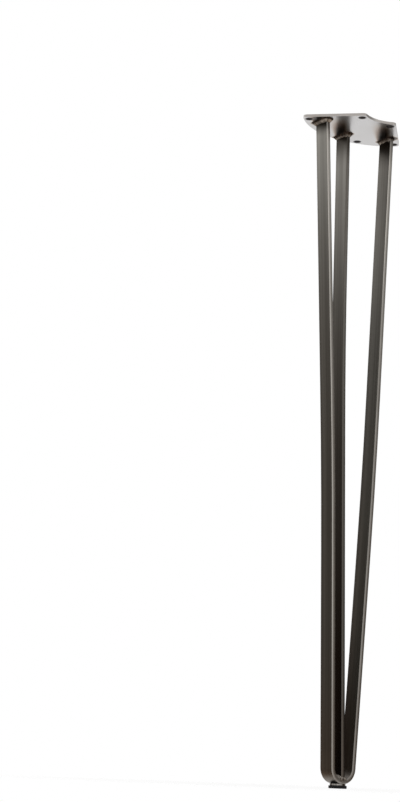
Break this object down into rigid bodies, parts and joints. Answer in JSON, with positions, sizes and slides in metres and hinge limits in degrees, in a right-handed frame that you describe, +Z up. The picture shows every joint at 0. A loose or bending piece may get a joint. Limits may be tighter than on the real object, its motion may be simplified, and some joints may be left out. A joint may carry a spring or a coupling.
{
  "type": "hairpin table leg",
  "caption": "Raw steel hairpin table leg: a flat bar bent into a narrow U around a straight bar, welded under a screw-down corner plate, on a small padded foot.",
  "frame": {"origin": "on the floor under the middle of the foot pad", "axes": "+Z up along the leg, X across the hairpin from its left leg to its right leg, +Y towards the plate's round edge and the third bar"},
  "size_m": [0.1348, 0.0756, 0.711],
  "materials": {
    "plate_steel": "satin, cleaned, heat-tinted near the welds",
    "bar_steel": "raw hot-rolled, satin with fine drawn lines",
    "weld_metal": "as welded, rippled and heat-tinted",
    "pad_rubber": "matt black"
  },
  "bodies": {
    "root": {"mounting_plate": "plate_steel", "hairpin_bar": "bar_steel", "centre_bar": "bar_steel", "left_plate_weld": "weld_metal", "right_plate_weld": "weld_metal", "centre_plate_weld": "weld_metal", "base_welds": "weld_metal", "foot_welds": "weld_metal", "foot_disc": "bar_steel", "foot_pad": "pad_rubber"}
  },
  "joints": []
}
